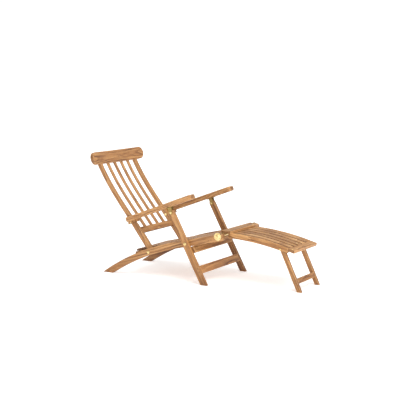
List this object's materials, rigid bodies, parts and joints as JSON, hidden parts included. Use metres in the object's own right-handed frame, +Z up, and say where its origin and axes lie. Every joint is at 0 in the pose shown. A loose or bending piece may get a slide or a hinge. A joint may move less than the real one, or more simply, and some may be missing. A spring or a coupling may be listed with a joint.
{
  "type": "deck chair",
  "caption": "Folding wooden deck chair with curved side rails, slatted seat and back, bent headrest, notched arms and a hinged slatted footrest on its own legs.",
  "frame": {"origin": "on the floor, below the middle of the chair as it stands open", "axes": "+X towards the footrest, +Y to the sitter's left, +Z up"},
  "size_m": [1.5794, 0.61, 0.8458],
  "materials": {
    "teak": "oiled satin",
    "teak_slats": "oiled satin",
    "brass": "polished"
  },
  "bodies": {
    "seat_frame": {"side_rail_left": "teak", "side_rail_right": "teak", "seat_slat_1": "teak_slats", "seat_slat_2": "teak_slats", "seat_slat_3": "teak_slats", "seat_slat_4": "teak_slats", "seat_slat_5": "teak_slats", "seat_slat_6": "teak_slats", "seat_bar_rear": "teak", "seat_bar_middle": "teak", "seat_bar_front": "teak", "footrest_rod": "brass", "rod_cap_left": "brass", "rod_cap_right": "brass", "leg_bolt_left": "brass", "leg_bolt_right": "brass", "back_bolt_left": "brass", "back_bolt_right": "brass"},
    "front_legs": {"front_leg_left": "teak", "front_leg_right": "teak", "leg_bar_upper": "teak", "leg_bar_lower": "teak"},
    "backrest": {"back_stile_left": "teak", "back_stile_right": "teak", "back_slat_1": "teak_slats", "back_slat_2": "teak_slats", "back_slat_3": "teak_slats", "back_slat_4": "teak_slats", "back_lower_rail": "teak", "headrest": "teak", "notch_pin_left": "brass", "notch_pin_right": "brass"},
    "left_arm": {"arm_board_left": "teak", "notched_block_left": "teak", "lift_tab_left": "brass", "arm_bracket_left": "brass", "arm_bolt_left": "brass"},
    "right_arm": {"arm_board_right": "teak", "notched_block_right": "teak", "lift_tab_right": "brass", "arm_bracket_right": "brass", "arm_bolt_right": "brass"},
    "footrest": {"foot_rail_left": "teak", "foot_rail_right": "teak", "foot_slat_1": "teak_slats", "foot_slat_2": "teak_slats", "foot_slat_3": "teak_slats", "foot_slat_4": "teak_slats", "foot_slat_5": "teak_slats", "foot_bar_rear": "teak", "foot_bar_front": "teak", "foot_cleat_front": "teak", "foot_cleat_middle": "teak", "foot_hook_left": "brass", "foot_hook_right": "brass", "foot_bolt_left": "brass", "foot_bolt_right": "brass"},
    "footrest_legs": {"foot_leg_left": "teak", "foot_leg_right": "teak", "foot_leg_bar": "teak"}
  },
  "joints": [
    {"name": "leg_fold", "type": "hinge", "parent": "seat_frame", "child": "front_legs", "pos_m": [-0.00875, 0, 0.26715], "axis": [0, 1, 0], "range_deg": [0, 90]},
    {"name": "back_fold", "type": "hinge", "parent": "seat_frame", "child": "backrest", "pos_m": [-0.32348, 0, 0.17712], "axis": [0, 1, 0], "range_deg": [0, 90]},
    {"name": "left_arm_fold", "type": "hinge", "parent": "front_legs", "child": "left_arm", "pos_m": [-0.11851, 0, 0.46973], "axis": [0, 1, 0], "range_deg": [-68.5, 0]},
    {"name": "right_arm_fold", "type": "hinge", "parent": "front_legs", "child": "right_arm", "pos_m": [-0.11851, 0, 0.46973], "axis": [0, 1, 0], "range_deg": [-68.5, 0]},
    {"name": "footrest_lift", "type": "hinge", "parent": "seat_frame", "child": "footrest", "pos_m": [0.22972, 0, 0.33366], "axis": [0, -1, 0], "range_deg": [0, 30]},
    {"name": "footrest_legs_fold", "type": "hinge", "parent": "footrest", "child": "footrest_legs", "pos_m": [0.6448, 0, 0.27528], "axis": [0, 1, 0], "range_deg": [0, 105]}
  ],
  "couplings": [
    {"joint": "back_fold", "follows": "leg_fold", "ratio": 1},
    {"joint": "left_arm_fold", "follows": "leg_fold", "ratio": -0.76},
    {"joint": "right_arm_fold", "follows": "leg_fold", "ratio": -0.76}
  ]
}
